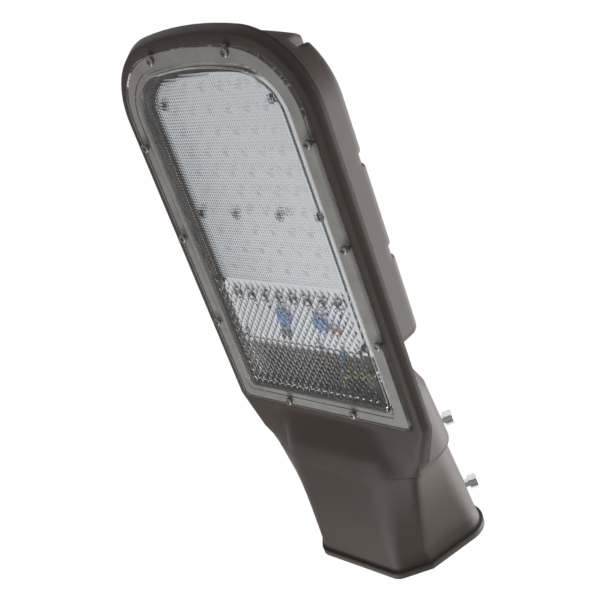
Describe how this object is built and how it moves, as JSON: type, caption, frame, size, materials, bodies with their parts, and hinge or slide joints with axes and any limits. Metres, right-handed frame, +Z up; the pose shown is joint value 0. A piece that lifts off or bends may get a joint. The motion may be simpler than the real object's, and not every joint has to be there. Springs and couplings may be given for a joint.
{
  "type": "street light",
  "caption": "LED street light head: a ribbed die-cast aluminium housing in dark brown with a clear prismatic lens cover, a diode board and a socket that clamps on a pole end",
  "frame": {"origin": "middle of the pole socket's mouth, on the socket axis", "axes": "+Y from the mouth to the nose, +Z up, so that the light leaves towards -Z; +X completes a right-handed frame"},
  "size_m": [0.1702, 0.3811, 0.0954],
  "materials": {
    "housing_paint": "matt powder coat, dark brown grey",
    "lens_clear": "clear polycarbonate moulding with prisms inside",
    "gasket_rubber": "grey silicone rubber",
    "screw_steel": "plain stainless steel",
    "screw_black": "blackened steel",
    "board_white": "white solder resist on aluminium",
    "diode_resin": "yellow phosphor resin in a white package",
    "chip_black": "moulded black epoxy",
    "varistor_blue": "dipped blue epoxy",
    "fuse_orange": "orange lacquer",
    "wire_brown": "silicone insulation, brown",
    "wire_blue": "silicone insulation, blue",
    "wire_green": "silicone insulation, green with a yellow stripe",
    "gland_nylon": "moulded black nylon",
    "lug_tin": "tinned copper",
    "clamp_chrome": "bright zinc plate"
  },
  "bodies": {
    "root": {"housing": "housing_paint", "lens_cover": "lens_clear", "lens_gasket": "gasket_rubber", "lens_screws": "screw_steel", "led_board": "board_white", "led_chips": "diode_resin", "board_screws": "screw_black", "driver_chips": "chip_black", "sense_resistors": "chip_black", "varistor_left": "varistor_blue", "varistor_right": "varistor_blue", "bridge_rectifier": "chip_black", "fuse_resistor": "fuse_orange", "live_wire": "wire_brown", "neutral_wire": "wire_blue", "earth_wire": "wire_green", "gland_body": "gland_nylon", "gland_nut": "gland_nylon", "gland_cap": "gland_nylon", "gland_seal": "gasket_rubber", "earth_lug": "lug_tin", "earth_screw": "screw_steel", "clamp_screws": "clamp_chrome"}
  },
  "joints": []
}
